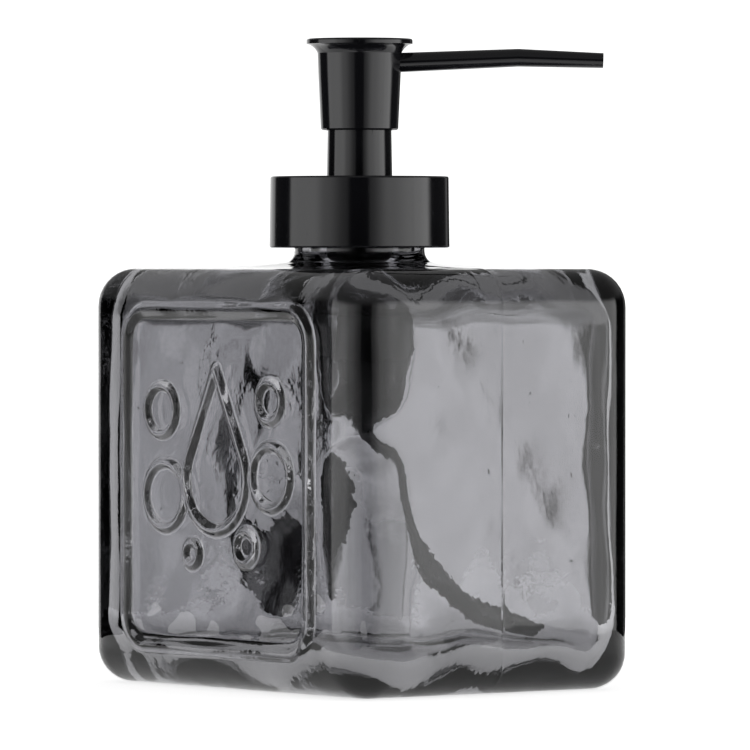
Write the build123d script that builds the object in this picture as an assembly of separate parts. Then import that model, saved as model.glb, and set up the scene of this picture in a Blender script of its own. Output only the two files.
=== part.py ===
from build123d import *
from math import cos, radians, sin, sqrt
import os

# Soap pump dispenser: a square-shouldered glass bottle with a screw-on lotion pump.
# Millimetres. Origin on the underside of the bottle, on the pump's axis. +Z is up, the front
# panel faces -Y, and the spout leaves the head along spout_azimuth, measured from +X.

# ------------------------------------------------------------------ glass bottle
body_width = 106.4
body_depth = 81.6
body_height = 95.8
corner_radius = 10.0
shoulder_radius = 8.8
base_edge_radius = 8.4
wall = 3.5
base_thickness = 6.0
roof_thickness = 4.2
cavity_corner_radius = 20.0
cavity_edge_radius = 9.0

panel_side_margin = 15.9
panel_base_margin = 7.25
panel_top_margin = 7.05
panel_corner_radius = 10.0
panel_ridge_width = 4.6
panel_ridge_height = 1.1
panel_ridge_round = 1.0

# neck finish: the 28 mm, six threads to the inch kind
shoulder_rise = 1.3
shoulder_dome_margin = 1.0
neck_bead_projection = 2.45
neck_bead_height = 5.4
neck_foot_spread = 2.65
neck_foot_round = 1.6
neck_bead_round = 0.4
neck_rim_round = 0.5
neck_height = 15.3
neck_root_radius = 12.5
neck_bore_radius = 9.5
thread_pitch = 4.233
thread_depth = 1.2
thread_base = 2.2
thread_crest = 1.1
neck_thread_start = 2.9
neck_thread_rim_margin = 1.7
mouth_round = 0.6

# ------------------------------------------------------------------ screw collar
collar_top_radius = 20.5
collar_bottom_radius = 20.7
collar_height = 16.4
collar_wall = 1.3
collar_top_wall = 1.2
collar_edge_round = 0.45
insert_top_wall = 1.2
insert_wall = 1.65
insert_bead_gap = 0.35
insert_rib_count = 12
insert_rib_thickness = 1.2
inner_thread_turns = 1.2
inner_thread_base = 1.5
inner_thread_crest = 0.8
thread_axial_clearance = 0.3
thread_radial_clearance = 0.25

# ------------------------------------------------------------------ pump engine
gasket_thickness = 1.2
gasket_inner_radius = 9.7
flange_inset = 0.1
chamber_flange_thickness = 1.1
sleeve_flange_thickness = 1.1
chamber_radius = 6.6
chamber_wall = 1.0
vent_radius = 0.6
vent_depth = 4.0
dip_socket_depth = 5.5
dip_socket_wall = 1.0
intake_radius = 1.4
valve_bore_clearance = 1.0

sleeve_base_radius = 7.52
sleeve_draft = 0.22
sleeve_height = 12.5
sleeve_wall = 1.4
sleeve_web_thickness = 2.6
sleeve_skirt_depth = 1.9
sleeve_skirt_wall = 1.1
sleeve_rim_round = 0.3

dip_tube_radius = 3.5
dip_tube_bore_radius = 2.6
dip_tube_bend_angle = 65.0
dip_tube_bend_radius = 50.0
dip_tube_wall_gap = 2.0
dip_tube_floor_gap = 0.4

spring_wire_radius = 0.45
spring_radius = 4.3
spring_length = 23.6
spring_turns = 8
cage_thickness = 2.5
cage_bar_width = 1.2
cage_rim_step = 0.2

inlet_ball_radius = 2.0
outlet_ball_radius = 2.1
inlet_ball_lift = 1.2
outlet_ball_lift = 1.0
ball_clearance = 0.1

# ------------------------------------------------------------------ plunger and head
press_travel = 10.0
head_stop_gap = 0.6
stem_radius = 3.6
stem_stop_ledge = 0.2
stem_top_gap = 0.25
valve_pocket_clearance = 0.5
valve_slot_width = 1.0
valve_slot_depth = 3.0
piston_flange_inset = 1.0
piston_flange_thickness = 1.5
piston_nose_length = 4.0
piston_nose_clearance = 0.45
piston_channel_radius = 1.3
piston_spigot_length = 2.0
outlet_seat_step = 0.4
seal_length = 7.0
seal_lip_length = 2.2
seal_lip_wall = 0.8
seal_waist_inset = 0.4
seal_gap = 0.3

head_height = 21.0
head_skirt_wall = 1.15
head_waist_swell = 0.55
head_shoulder_swell = 0.75
head_waist_drop = 8.6
head_shoulder_drop = 3.3
head_flare_drop = 1.2
head_rim_swell = 3.3
head_flare_radius = 3.4
head_lip_round = 0.45
head_chamfer = 0.35
head_dish_depth = 0.6
head_dish_margin = 1.8
core_ledge = 0.4
core_floor = 1.0
core_roof = 0.9
hub_wall = 1.6
hub_depth = 11.4
core_channel_radius = 1.3

spout_azimuth = 52.7
spout_drop = 5.45
spout_root_radius = 2.25
spout_bend_radius = 2.06
spout_tip_radius = 1.73
spout_bore_radius = 1.15
spout_bend_reach = 36.5
spout_reach = 56.0
spout_rise = 1.1
spout_fall = 0.65
spout_socket_reach = 3.4
spout_collar_reach = 9.2

# ------------------------------------------------------------------ clearances
running_clearance = 0.05
face_clearance = 0.05
insert_clearance = 0.1
collar_hole_clearance = 0.4
guide_clearance = 0.23
fit_overlap = 0.3

# ------------------------------------------------------------------ radii that follow from the above
neck_bead_radius = neck_root_radius + neck_bead_projection
neck_foot_radius = neck_bead_radius + neck_foot_spread
shoulder_dome_radius = body_depth / 2 - shoulder_radius - shoulder_dome_margin
flange_radius = neck_root_radius - flange_inset
insert_bore_radius = neck_root_radius + thread_depth + thread_radial_clearance
insert_radius = insert_bore_radius + insert_wall
shell_inner_radius = collar_top_radius - collar_wall
sleeve_top_radius = sleeve_base_radius - sleeve_draft
sleeve_bore_radius = sleeve_top_radius - sleeve_wall
collar_hole_radius = sleeve_base_radius + collar_hole_clearance
skirt_bore_radius = sleeve_base_radius + guide_clearance
head_bottom_radius = skirt_bore_radius + head_skirt_wall
head_waist_radius = head_bottom_radius + head_waist_swell
head_shoulder_radius = head_bottom_radius + head_shoulder_swell
head_rim_radius = head_bottom_radius + head_rim_swell
head_dish_radius = head_rim_radius - head_dish_margin
core_radius = skirt_bore_radius + core_ledge
hub_radius = stem_radius + hub_wall
piston_flange_radius = chamber_radius - piston_flange_inset
piston_nose_radius = spring_radius - spring_wire_radius - piston_nose_clearance
valve_bore_radius = inlet_ball_radius + valve_bore_clearance
valve_pocket_radius = outlet_ball_radius + valve_pocket_clearance
stem_bore_radius = outlet_ball_radius - stem_stop_ledge
outlet_seat_radius = valve_pocket_radius - outlet_seat_step
cage_rim_radius = valve_bore_radius + cage_rim_step

# ------------------------------------------------------------------ stack of heights
bead_top_z = body_height + neck_bead_height
rim_z = body_height + neck_height
chamber_flange_z = rim_z + gasket_thickness
chamber_mouth_z = chamber_flange_z + chamber_flange_thickness
sleeve_flange_top_z = chamber_mouth_z + sleeve_flange_thickness
insert_top_z = sleeve_flange_top_z + face_clearance + insert_top_wall
collar_top_z = insert_top_z + collar_top_wall
collar_bottom_z = collar_top_z - collar_height
sleeve_top_z = collar_top_z + sleeve_height
head_bottom_z = collar_top_z + head_stop_gap + press_travel
head_top_z = head_bottom_z + head_height

seal_top_z = chamber_mouth_z - sleeve_skirt_depth - seal_gap
seal_bottom_z = seal_top_z - seal_length
spring_top_z = seal_bottom_z - piston_flange_thickness
cage_top_z = spring_top_z - spring_length
cage_bottom_z = cage_top_z - cage_thickness
inlet_ball_top_z = cage_bottom_z - ball_clearance - inlet_ball_lift
inlet_ball_z = inlet_ball_top_z - inlet_ball_radius
# a ball on a 45 degree seat touches it root two radii above the seat's apex
inlet_apex_z = inlet_ball_z - ball_clearance - inlet_ball_radius * sqrt(2)
intake_z = inlet_apex_z + intake_radius
socket_top_z = intake_z - dip_socket_wall
socket_bottom_z = socket_top_z - dip_socket_depth

spigot_top_z = seal_bottom_z + piston_spigot_length
outlet_apex_z = spigot_top_z - outlet_seat_radius
outlet_ball_z = outlet_apex_z + outlet_ball_radius * sqrt(2) + ball_clearance
stop_height = sqrt(outlet_ball_radius**2 - stem_bore_radius**2)
pocket_top_z = outlet_ball_z + outlet_ball_lift + stop_height + ball_clearance

spout_z = head_top_z - spout_drop
stem_top_z = spout_z - spout_root_radius - stem_top_gap
core_top_z = spout_z + spout_root_radius + core_roof
core_bottom_z = spout_z - spout_root_radius - core_floor
hub_bottom_z = core_bottom_z - hub_depth
thread_start_z = bead_top_z + neck_thread_start


def turned(points, rounds=()):
    """Solid turned about Z from (radius, height) points; rounds holds (point, radius) pairs."""
    face = make_face(Polyline(*points, close=True))
    for number, radius in rounds:
        corner = face.vertices().sort_by_distance(Vector(*points[number]))[0]
        face = fillet(corner, radius)
    return revolve(Plane.XZ * face, Axis.Z)


def disc(radius, bottom, top, bore=0.0):
    """Plain cylinder or ring between two heights."""
    points = [(bore, bottom), (radius, bottom), (radius, top), (bore, top)]
    return turned(points)


def rounded_block(width, depth, bottom, top, corner, low_edge, high_edge):
    """Upright block with rounded vertical corners and rounded top and bottom edges."""
    block = Pos(0, 0, bottom) * extrude(RectangleRounded(width, depth, corner), top - bottom)
    limit = 0.96 * corner
    for level, radius in ((0, low_edge), (-1, high_edge)):
        block = fillet(block.edges().group_by(Axis.Z)[level], min(radius, limit))
    return block


def helical_rib(radius, turns, start_z, section):
    """Right-hand thread rib: a section of (outward, along) points swept up a helix."""
    path = Pos(0, 0, start_z) * Helix(thread_pitch, turns * thread_pitch, radius)
    plane = Plane(origin=path @ 0, x_dir=(1, 0, 0), z_dir=path % 0)
    return sweep(plane * make_face(Polyline(*section, close=True)), path, is_frenet=True)


def trapezoid(root, crest, base, top):
    """Thread section between two outward distances, symmetrical along the axis."""
    return [(root, -base / 2), (root, base / 2), (crest, top / 2), (crest, -top / 2)]


# ------------------------------------------------------------------ bottle
def bottle():
    glass = rounded_block(body_width, body_depth, 0, body_height,
                          corner_radius, base_edge_radius, shoulder_radius)
    roof_z = body_height - roof_thickness
    glass += turned([
        (0, roof_z), (shoulder_dome_radius, roof_z), (shoulder_dome_radius, body_height),
        (neck_foot_radius, body_height + shoulder_rise),
        (neck_bead_radius, body_height + shoulder_rise + neck_foot_radius - neck_bead_radius),
        (neck_bead_radius, bead_top_z), (neck_root_radius, bead_top_z),
        (neck_root_radius, rim_z), (0, rim_z),
    ], rounds=[(4, neck_foot_round), (5, neck_bead_round), (7, neck_rim_round)])
    turns = (rim_z - neck_thread_rim_margin - thread_start_z) / thread_pitch
    glass += helical_rib(neck_root_radius, turns, thread_start_z,
                         trapezoid(-fit_overlap, thread_depth, thread_base, thread_crest))
    glass += panel_ridge()
    glass -= rounded_block(body_width - 2 * wall, body_depth - 2 * wall, base_thickness, roof_z,
                           cavity_corner_radius, cavity_edge_radius, cavity_edge_radius)
    glass -= turned([
        (0, roof_z - fit_overlap), (neck_bore_radius, roof_z - fit_overlap),
        (neck_bore_radius, rim_z - mouth_round), (neck_bore_radius + mouth_round, rim_z), (0, rim_z),
    ])
    return glass


def panel_ridge():
    """Raised frame round the front panel."""
    panel_width = body_width - 2 * panel_side_margin
    panel_height = body_height - panel_base_margin - panel_top_margin
    root = wall / 2
    front = Plane(origin=(0, root - body_depth / 2, panel_base_margin + panel_height / 2),
                  x_dir=(1, 0, 0), z_dir=(0, -1, 0))
    inner_width = panel_width - 2 * panel_ridge_width
    inner_height = panel_height - 2 * panel_ridge_width
    inner_corner = max(panel_corner_radius - panel_ridge_width, 0.5)
    ring = RectangleRounded(panel_width, panel_height, panel_corner_radius)
    ring -= RectangleRounded(inner_width, inner_height, inner_corner)
    ridge = extrude(front * ring, panel_ridge_height + root)
    crown = ridge.faces().sort_by(Axis.Y)[0].edges()
    return fillet(crown, min(panel_ridge_round, 0.95 * panel_ridge_height))


# ------------------------------------------------------------------ collar
def collar_shell():
    return turned([
        (collar_hole_radius, insert_top_z), (collar_hole_radius, collar_top_z),
        (collar_top_radius, collar_top_z), (collar_bottom_radius, collar_bottom_z),
        (shell_inner_radius, collar_bottom_z), (shell_inner_radius, insert_top_z),
    ], rounds=[(2, collar_edge_round), (3, collar_edge_round)])


def collar_insert():
    skirt_bottom = bead_top_z + insert_bead_gap
    ceiling = insert_top_z - insert_top_wall
    insert = disc(insert_radius, skirt_bottom, insert_top_z, insert_bore_radius)
    insert += disc(insert_radius, ceiling, insert_top_z, collar_hole_radius)
    rib_reach = shell_inner_radius - insert_clearance
    rib_middle = (insert_radius - fit_overlap + rib_reach) / 2
    rib_length = rib_reach - insert_radius + fit_overlap
    rib = Pos(rib_middle, 0, (skirt_bottom + insert_top_z) / 2) * Box(
        rib_length, insert_rib_thickness, insert_top_z - skirt_bottom)
    for number in range(insert_rib_count):
        insert += Rot(0, 0, 360 * number / insert_rib_count) * rib
    crest = neck_root_radius + thread_radial_clearance
    half_widths = (thread_base + thread_crest + inner_thread_base + inner_thread_crest) / 4
    below = half_widths + thread_axial_clearance
    insert += helical_rib(insert_bore_radius, inner_thread_turns, thread_start_z - below, trapezoid(
        fit_overlap, crest - insert_bore_radius, inner_thread_base, inner_thread_crest))
    return insert


# ------------------------------------------------------------------ pump engine
def neck_gasket():
    return disc(neck_root_radius, rim_z, chamber_flange_z, gasket_inner_radius)


def pump_chamber():
    outer = chamber_radius + chamber_wall
    nose = valve_bore_radius + chamber_wall
    socket_outer = dip_tube_radius + dip_socket_wall
    seat_top = inlet_apex_z + valve_bore_radius
    chamber = turned([
        (intake_radius, socket_top_z), (dip_tube_radius, socket_top_z),
        (dip_tube_radius, socket_bottom_z), (socket_outer, socket_bottom_z),
        (socket_outer, cage_bottom_z - chamber_wall - outer + nose), (outer, cage_bottom_z - chamber_wall),
        (outer, chamber_flange_z), (flange_radius, chamber_flange_z),
        (flange_radius, chamber_mouth_z), (chamber_radius, chamber_mouth_z),
        (chamber_radius, cage_bottom_z), (valve_bore_radius, cage_bottom_z),
        (valve_bore_radius, seat_top), (intake_radius, intake_z),
    ])
    vent = Pos(outer, 0, chamber_flange_z - vent_depth) * Rot(0, 90, 0) * Cylinder(
        vent_radius, 3 * chamber_wall)
    return chamber - vent


def guide_sleeve():
    stem_hole = stem_radius + running_clearance
    skirt_radius = chamber_radius - running_clearance
    skirt_bottom = chamber_mouth_z - sleeve_skirt_depth
    web_top = chamber_mouth_z + sleeve_web_thickness
    return turned([
        (stem_hole, chamber_mouth_z), (skirt_radius - sleeve_skirt_wall, chamber_mouth_z),
        (skirt_radius - sleeve_skirt_wall, skirt_bottom), (skirt_radius, skirt_bottom),
        (skirt_radius, chamber_mouth_z), (flange_radius, chamber_mouth_z),
        (flange_radius, sleeve_flange_top_z), (sleeve_base_radius, sleeve_flange_top_z),
        (sleeve_base_radius, collar_top_z), (sleeve_top_radius, sleeve_top_z),
        (sleeve_bore_radius, sleeve_top_z), (sleeve_bore_radius, web_top), (stem_hole, web_top),
    ], rounds=[(9, sleeve_rim_round)])


def ball_cage():
    """Slotted ring that keeps the inlet ball in and carries the return spring."""
    ring = disc(chamber_radius - running_clearance, cage_bottom_z, cage_top_z, cage_rim_radius)
    bar = Pos(0, 0, (cage_bottom_z + cage_top_z) / 2) * Box(
        2 * (cage_rim_radius + fit_overlap), cage_bar_width, cage_thickness)
    return ring + bar + Rot(0, 0, 90) * bar


def dip_tube():
    """Tube that drops from the chamber and leans into the bottle's far corner."""
    top = socket_top_z
    tip_z = base_thickness + dip_tube_floor_gap + dip_tube_radius
    turn = radians(dip_tube_bend_angle)
    side_room = body_depth / 2 - wall - dip_tube_radius - dip_tube_wall_gap
    end_room = body_width / 2 - wall - dip_tube_radius - dip_tube_wall_gap
    lean = radians(spout_azimuth)
    reach = min(side_room / sin(lean), end_room / cos(lean))
    drop = socket_bottom_z - tip_z
    # the bend is the named one, or the largest that leaves the top of the tube straight
    largest = (drop * sin(turn) - reach * cos(turn)) / (sin(turn) ** 2 - cos(turn) * (1 - cos(turn)))
    bend = min(dip_tube_bend_radius, largest)
    end_length = (reach - bend * (1 - cos(turn))) / sin(turn)
    bend_z = tip_z + bend * sin(turn) + end_length * cos(turn)
    bend_end = (bend * (1 - cos(turn)), bend_z - bend * sin(turn))
    path = Polyline((0, top), (0, bend_z))
    path += RadiusArc((0, bend_z), bend_end, -bend)
    path += Line(bend_end, (reach, tip_z))
    leaning = Plane(origin=(0, 0, 0), x_dir=(cos(lean), sin(lean), 0), z_dir=(sin(lean), -cos(lean), 0))
    start = Plane(origin=(0, 0, top), z_dir=(0, 0, -1))
    ring = Circle(dip_tube_radius) - Circle(dip_tube_bore_radius)
    return sweep(start * ring, leaning * path)


def return_spring():
    height = spring_length - 2 * spring_wire_radius - 2 * face_clearance
    start_z = cage_top_z + spring_wire_radius + face_clearance
    path = Pos(0, 0, start_z) * Helix(height / spring_turns, height, spring_radius)
    plane = Plane(origin=path @ 0, x_dir=(1, 0, 0), z_dir=path % 0)
    return sweep(plane * Circle(spring_wire_radius), path, is_frenet=True)


def check_ball(radius, centre_z):
    return Pos(0, 0, centre_z) * Sphere(radius)


# ------------------------------------------------------------------ plunger
def stem_tube():
    stem = disc(stem_radius, seal_bottom_z, stem_top_z, stem_bore_radius)
    stem -= disc(valve_pocket_radius, seal_bottom_z, pocket_top_z)
    slot = Box(2 * valve_pocket_radius, valve_slot_width, valve_slot_depth)
    for turn in (0, 90):
        stem -= Pos(0, 0, pocket_top_z) * Rot(0, 0, turn) * slot
    return stem


def piston_core():
    """Valve seat and spring abutment plugged into the foot of the stem."""
    nose_z = spring_top_z - piston_nose_length
    return turned([
        (piston_channel_radius, nose_z), (piston_nose_radius, nose_z),
        (piston_nose_radius, spring_top_z), (piston_flange_radius, spring_top_z),
        (piston_flange_radius, seal_bottom_z), (valve_pocket_radius, seal_bottom_z),
        (valve_pocket_radius, spigot_top_z), (outlet_seat_radius, spigot_top_z),
        (piston_channel_radius, outlet_apex_z + piston_channel_radius),
    ])


def piston_seal():
    """Double cup seal that grips the stem and wipes the chamber wall at both ends."""
    lip = chamber_radius - running_clearance
    waist = piston_flange_radius - seal_waist_inset
    lip_wall = seal_lip_wall
    low_tip = seal_bottom_z
    low_root = seal_bottom_z + seal_lip_length
    high_root = seal_top_z - seal_lip_length
    return turned([
        (stem_radius, low_tip), (waist - lip_wall, low_tip), (waist - lip_wall, low_root - lip_wall),
        (lip - lip_wall, low_tip), (lip, low_tip), (waist, low_root), (waist, high_root),
        (lip, seal_top_z), (lip - lip_wall, seal_top_z),
        (waist - lip_wall, high_root + lip_wall), (stem_radius, high_root + lip_wall),
    ])


# ------------------------------------------------------------------ head
spout_turn = Rot(0, 0, spout_azimuth)


def head_shell():
    """Trumpet-shaped button that slides over the guide sleeve."""
    waist_z = head_top_z - head_waist_drop
    shoulder_z = head_top_z - head_shoulder_drop
    flare_z = head_top_z - head_flare_drop
    with BuildLine() as outline:
        Polyline((0, core_top_z), (core_radius, core_top_z), (core_radius, core_bottom_z),
                 (skirt_bore_radius, core_bottom_z), (skirt_bore_radius, head_bottom_z),
                 (head_bottom_radius - head_chamfer, head_bottom_z),
                 (head_bottom_radius, head_bottom_z + head_chamfer),
                 (head_waist_radius, waist_z), (head_shoulder_radius, shoulder_z))
        RadiusArc((head_shoulder_radius, shoulder_z), (head_rim_radius, flare_z),
                  head_flare_radius)
        Polyline((head_rim_radius, flare_z), (head_rim_radius, head_top_z),
                 (0, head_top_z), (0, core_top_z))
    face = make_face(outline.line)
    rim = face.vertices().sort_by_distance(Vector(head_rim_radius, head_top_z))[0]
    face = fillet(rim, head_lip_round)
    shell = revolve(Plane.XZ * face, Axis.Z)
    # the thumb dish is a shallow piece of a ball whose centre is high on the axis
    ball_radius = (head_dish_radius**2 + head_dish_depth**2) / (2 * head_dish_depth)
    shell -= Pos(0, 0, head_top_z - head_dish_depth + ball_radius) * Sphere(ball_radius)
    return shell - spout_turn * spout_blank()


def head_core():
    """Inner plug: a hub that turns on the stem and the channel that feeds the spout."""
    hub_bore = stem_radius + running_clearance
    hub_top = stem_top_z + 4 * face_clearance
    core = disc(core_radius, core_bottom_z, core_top_z)
    core += disc(hub_radius, hub_bottom_z, core_bottom_z)
    core -= disc(hub_bore, hub_bottom_z, hub_top)
    core -= disc(core_channel_radius, hub_top, spout_z)
    channel = Pos(spout_socket_reach / 2, 0, spout_z) * Rot(0, 90, 0) * Cylinder(
        core_channel_radius, spout_socket_reach)
    core -= spout_turn * channel
    return core - spout_turn * spout_blank()


def spout_blank():
    """Solid taper of the spout along +X: level in its socket, then up and gently down."""
    stations = [
        (spout_socket_reach, spout_z, spout_root_radius),
        (spout_collar_reach, spout_z, spout_root_radius),
        (spout_bend_reach, spout_z + spout_rise, spout_bend_radius),
        (spout_reach, spout_z + spout_rise - spout_fall, spout_tip_radius),
    ]
    rings = [station_ring(stations, number) for number in range(len(stations))]
    return loft(rings, ruled=True)


def station_ring(stations, number):
    """Round section set square to the bisector of the spout's two neighbouring runs."""
    before = stations[max(number - 1, 0)]
    after = stations[min(number + 1, len(stations) - 1)]
    along = Vector(after[0] - before[0], 0, after[1] - before[1])
    reach, height, radius = stations[number]
    return Plane(origin=(reach, 0, height), x_dir=(0, 1, 0), z_dir=along) * Circle(radius)


def spout_tube():
    spout = spout_blank()
    tip_z = spout_z + spout_rise - spout_fall
    bore_points = [(spout_socket_reach - 1, spout_z), (spout_collar_reach, spout_z),
                   (spout_bend_reach, spout_z + spout_rise), (spout_reach + 1, tip_z)]
    bore_path = Polyline(*[(reach, 0, height) for reach, height in bore_points])
    start = Plane(origin=bore_path @ 0, z_dir=(1, 0, 0))
    spout -= sweep(start * Circle(spout_bore_radius), bore_path, transition=Transition.RIGHT)
    return spout_turn * spout


nodes = {
    "bottle": bottle(),
    "collar_shell": collar_shell(),
    "collar_insert": collar_insert(),
    "neck_gasket": neck_gasket(),
    "pump_chamber": pump_chamber(),
    "guide_sleeve": guide_sleeve(),
    "ball_cage": ball_cage(),
    "dip_tube": dip_tube(),
    "return_spring": return_spring(),
    "inlet_ball": check_ball(inlet_ball_radius, inlet_ball_z),
    "outlet_ball": check_ball(outlet_ball_radius, outlet_ball_z),
    "stem_tube": stem_tube(),
    "piston_core": piston_core(),
    "piston_seal": piston_seal(),
    "head_shell": head_shell(),
    "head_core": head_core(),
    "spout_tube": spout_tube(),
}

os.makedirs("parts", exist_ok=True)
for name, shape in nodes.items():
    export_step(shape, f"parts/{name}.step")
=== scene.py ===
# %% [markdown]
# # A smoked glass soap dispenser
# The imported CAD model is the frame: the pump's pieces are already in place, in metres, and each
# one follows its own body when a joint moves. This notebook gives those pieces their finishes,
# builds the blown glass bottle as one closed skin, grows the return spring, and sets up a plain
# studio round them. No image is wrapped on anything: each finish is worked out by its shader.

# %% Load the frame
import math

import bmesh
import bpy
import numpy as np
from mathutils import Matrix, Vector


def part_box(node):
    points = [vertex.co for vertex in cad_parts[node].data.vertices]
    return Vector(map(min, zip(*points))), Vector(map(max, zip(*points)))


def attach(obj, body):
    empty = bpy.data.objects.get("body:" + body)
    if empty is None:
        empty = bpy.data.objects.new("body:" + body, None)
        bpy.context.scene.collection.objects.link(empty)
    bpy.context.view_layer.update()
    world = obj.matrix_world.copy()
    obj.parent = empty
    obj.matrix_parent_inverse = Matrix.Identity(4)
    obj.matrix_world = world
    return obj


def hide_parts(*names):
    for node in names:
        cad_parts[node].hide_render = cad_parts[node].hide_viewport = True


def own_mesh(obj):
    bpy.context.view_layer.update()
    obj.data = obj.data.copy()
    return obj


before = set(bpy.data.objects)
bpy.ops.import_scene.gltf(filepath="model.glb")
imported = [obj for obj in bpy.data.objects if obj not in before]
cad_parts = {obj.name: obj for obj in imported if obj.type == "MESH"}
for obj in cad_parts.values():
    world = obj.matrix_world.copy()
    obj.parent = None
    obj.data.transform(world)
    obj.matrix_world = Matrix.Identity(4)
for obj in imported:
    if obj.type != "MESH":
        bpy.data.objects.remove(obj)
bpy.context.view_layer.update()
MM = 0.001

# %% [markdown]
# ## Camera
# A long lens from well back keeps the bottle's upright edges almost parallel. A short lens close
# by would frame the same width, but would make the near corner bulge. The camera stands a little
# below the top of the glass, off one corner, and looks down by about a degree, so both wide faces
# show and the shoulder is seen edge on.

# %% Place the camera
VIEW_AZIMUTH = 52.7  # degrees round from the front, towards the right
CAMERA_DISTANCE = 1.72
CAMERA_HEIGHT = 0.100
AIM_HEIGHT = 0.0713
AIM_SHIFT = 0.00356  # to the right of the bottle's middle, for the spout
SENSOR_WIDTH = 36.0
LENS = 359.136  # mm: the frame is 172.4 mm wide where the bottle stands

azimuth = math.radians(VIEW_AZIMUTH)
toward_camera = np.array([math.sin(azimuth), -math.cos(azimuth), 0.0])
sideways = np.array([math.cos(azimuth), math.sin(azimuth), 0.0])
look_at = sideways * AIM_SHIFT + np.array([0, 0, AIM_HEIGHT])
camera_place = toward_camera * CAMERA_DISTANCE + np.array([0, 0, CAMERA_HEIGHT])

camera_data = bpy.data.cameras.new("camera")
camera = bpy.data.objects.new("camera", camera_data)
bpy.context.scene.collection.objects.link(camera)
camera_data.sensor_width = SENSOR_WIDTH
camera_data.lens = LENS
camera_data.clip_start = 0.05
camera_data.clip_end = 50
camera.location = camera_place
camera.rotation_euler = (Vector(look_at) - Vector(camera_place)).to_track_quat("-Z", "Y").to_euler()
bpy.context.scene.camera = camera
print("camera", CAMERA_DISTANCE, "m away, frame",
      round(CAMERA_DISTANCE * SENSOR_WIDTH / LENS, 4), "m wide")

# %% [markdown]
# ## Helpers
# Colours are written as the hex values that a colour picker shows, and one function turns them
# to the linear numbers that shaders work in. One more function adds a node with its settings and
# its links, so that a material below reads as a list of what it is made of.

# %% Colour and node helpers
def linear(hex_colour):
    """Linear RGBA from an sRGB hex colour such as #1a1a1c."""
    parts = [int(hex_colour[i:i + 2], 16) / 255 for i in (1, 3, 5)]
    return [p / 12.92 if p <= 0.04045 else ((p + 0.055) / 1.055) ** 2.4 for p in parts] + [1.0]


def add(tree, kind, inputs=None, **settings):
    """Adds one node. inputs maps a socket to a value or to the output socket that feeds it."""
    node = tree.nodes.new(kind)
    for key, value in settings.items():
        setattr(node, key, value)
    for key, value in (inputs or {}).items():
        if isinstance(value, bpy.types.NodeSocket):
            tree.links.new(value, node.inputs[key])
        else:
            node.inputs[key].default_value = value
    return node


def new_material(name):
    """An empty node material and its tree."""
    material = bpy.data.materials.new(name)
    material.use_nodes = True
    material.node_tree.nodes.clear()
    return material, material.node_tree


WHITE = (1, 1, 1, 1)
print("middle grey #808080 is", round(linear("#808080")[0], 3), "linear")

# %% [markdown]
# ## Light round the bottle
# Dark glass is lit by what stands round it. A white backdrop behind makes it glow through, dim
# flags on both sides draw its dark outlines, and two wide softboxes beside the camera give the
# black plastic its long soft bands, with a thin black line between them where the camera itself
# stands. These could be panels with lamps, but a sky costs less to sample and stays put: one ramp
# of brightness round the horizon does for all of them.

# %% Ramp round the horizon
SKY_RAMP = [  # degrees from the camera's side of the bottle, brightness
    (-180, 1.0), (-162, 0.97), (-143, 0.8),  # backdrop, left part
    (-137, 0.03), (-103, 0.012),  # left flag
    (-98, 1.65), (-60, 1.95), (-44, 1.25), (-17, 0.4),  # left softbox, fading towards the camera
    (-11, 0.002), (11, 0.002),  # the dark place of the camera
    (14, 0.45), (40, 1.65), (70, 2.2), (96, 2.4),  # right softbox
    (107, 0.03), (142, 0.04),  # right flag
    (152, 0.3), (160, 0.01), (168, 0.003),  # a strip of light and a narrow flag
    (176, 0.97), (180, 1.0),  # backdrop, right part
]
RAMP_TOP = 2.4

world = bpy.data.worlds.new("studio")
bpy.context.scene.world = world
world.use_nodes = True
sky = world.node_tree
sky.nodes.clear()
direction = add(sky, "ShaderNodeTexCoord").outputs["Generated"]
axes = add(sky, "ShaderNodeSeparateXYZ", {0: direction})
heading = add(sky, "ShaderNodeMath", {0: axes.outputs["Y"], 1: axes.outputs["X"]},
              operation="ARCTAN2")
camera_heading = math.atan2(toward_camera[1], toward_camera[0])
turned = add(sky, "ShaderNodeMath", {0: heading.outputs[0], 1: camera_heading - math.pi},
             operation="SUBTRACT")
share = add(sky, "ShaderNodeMath", {0: turned.outputs[0], 1: 2 * math.pi}, operation="DIVIDE")
wrapped = add(sky, "ShaderNodeMath", {0: share.outputs[0]}, operation="FRACT")
ramp = add(sky, "ShaderNodeValToRGB", {0: wrapped.outputs[0]})
ramp.color_ramp.interpolation = "EASE"
stops = ramp.color_ramp.elements
while len(stops) > 1:
    stops.remove(stops[0])
for number, (angle, level) in enumerate(SKY_RAMP):
    stop = stops[0] if number == 0 else stops.new((angle + 180) / 360)
    stop.position = (angle + 180) / 360
    stop.color = (level / RAMP_TOP,) * 3 + (1,)
band = add(sky, "ShaderNodeMath", {0: ramp.outputs["Color"], 1: RAMP_TOP}, operation="MULTIPLY")
print("sky ramp has", len(stops), "stops")

# %% [markdown]
# ## Light from above and below
# A real studio has a dimmer ceiling over the softboxes and a pale table round the bottle. Both
# are mixed over the ramp by how far a direction points up or down. The camera alone sees pure
# white, as a cut-out background, so the backdrop's shading never shows beside the bottle.

# %% Top, bottom and backdrop
TOP_LIGHT, TOP_FROM, TOP_TO = 0.3, 0.14, 0.36  # brightness, and heights of the direction
TABLE_LIGHT, TABLE_FROM, TABLE_TO = 0.85, -0.13, -0.26

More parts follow.
